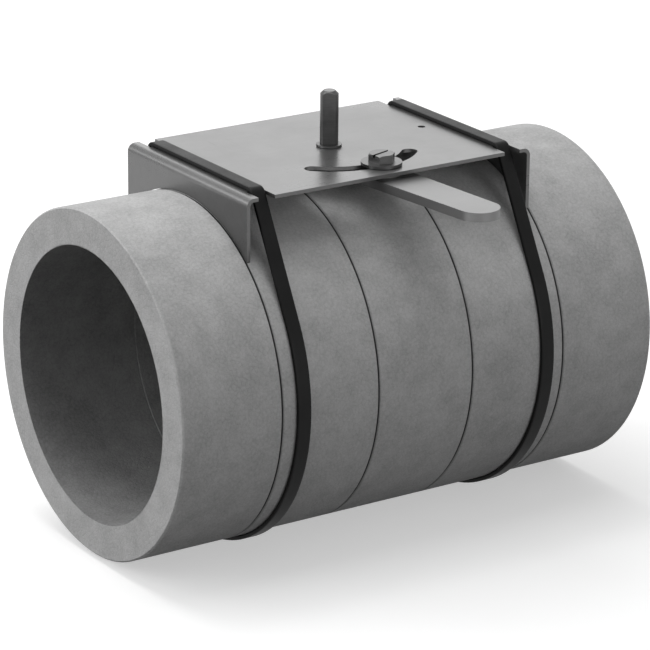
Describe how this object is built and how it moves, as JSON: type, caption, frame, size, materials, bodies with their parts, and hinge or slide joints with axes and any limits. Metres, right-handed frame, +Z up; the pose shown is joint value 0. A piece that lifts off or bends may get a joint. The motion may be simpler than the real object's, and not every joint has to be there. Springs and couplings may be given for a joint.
{
  "type": "insulated volume damper",
  "caption": "Round in-line air damper in a ringed foam shell, with a strapped-on steel bridge, hand lever locked in an arc slot, and a disc blade on a vertical shaft.",
  "frame": {"origin": "centre of the inlet socket's mouth, on the duct's axis", "axes": "+X along the duct from inlet to outlet, +Z up along the damper's shaft, -Y towards the hand lever"},
  "size_m": [0.3, 0.2298, 0.2365],
  "materials": {
    "foam": "matte moulded bead foam",
    "galvanised_inner": "galvanised",
    "bracket_steel": "satin galvanised",
    "lever_steel": "satin zinc plated",
    "shaft_steel": "drawn and turned",
    "fastener_steel": "zinc plated",
    "clip_steel": "blackened",
    "bush_plastic": "matte",
    "strap_plastic": "matte",
    "buckle_plastic": "matte"
  },
  "bodies": {
    "shell": {"inlet_sleeve": "foam", "outlet_sleeve": "foam", "inlet_shoulder_ring": "foam", "outlet_shoulder_ring": "foam", "centre_ring": "foam", "core_tube": "galvanised_inner", "upper_bush": "bush_plastic", "lower_bush": "bush_plastic", "bracket": "bracket_steel", "bracket_bush": "bush_plastic", "inlet_strap": "strap_plastic", "outlet_strap": "strap_plastic", "inlet_buckle": "buckle_plastic", "outlet_buckle": "buckle_plastic"},
    "damper": {"shaft": "shaft_steel", "blade": "galvanised_inner", "upper_saddle": "galvanised_inner", "lower_saddle": "galvanised_inner", "saddle_screws": "fastener_steel", "saddle_nuts": "fastener_steel", "lever": "lever_steel", "lock_nut": "fastener_steel", "shaft_clip": "clip_steel"},
    "lock_washer": {"lock_washer": "fastener_steel"},
    "lock_bolt": {"lock_bolt": "fastener_steel"}
  },
  "joints": [
    {"name": "damper_turn", "type": "hinge", "parent": "shell", "child": "damper", "pos_m": [0.15, 0, 0], "axis": [0, 0, 1], "range_deg": [-50.5, 39.5]},
    {"name": "washer_lift", "type": "slide", "parent": "damper", "child": "lock_washer", "axis": [0, 0, 1], "range_m": [0, 0.0013]},
    {"name": "bolt_turn", "type": "hinge", "parent": "lock_washer", "child": "lock_bolt", "pos_m": [0.15422, -0.0438, 0.11], "axis": [0, 0, 1], "range_deg": [0, 360]}
  ],
  "couplings": [
    {"joint": "washer_lift", "follows": "bolt_turn", "m_per_rad": 0.00019894}
  ]
}
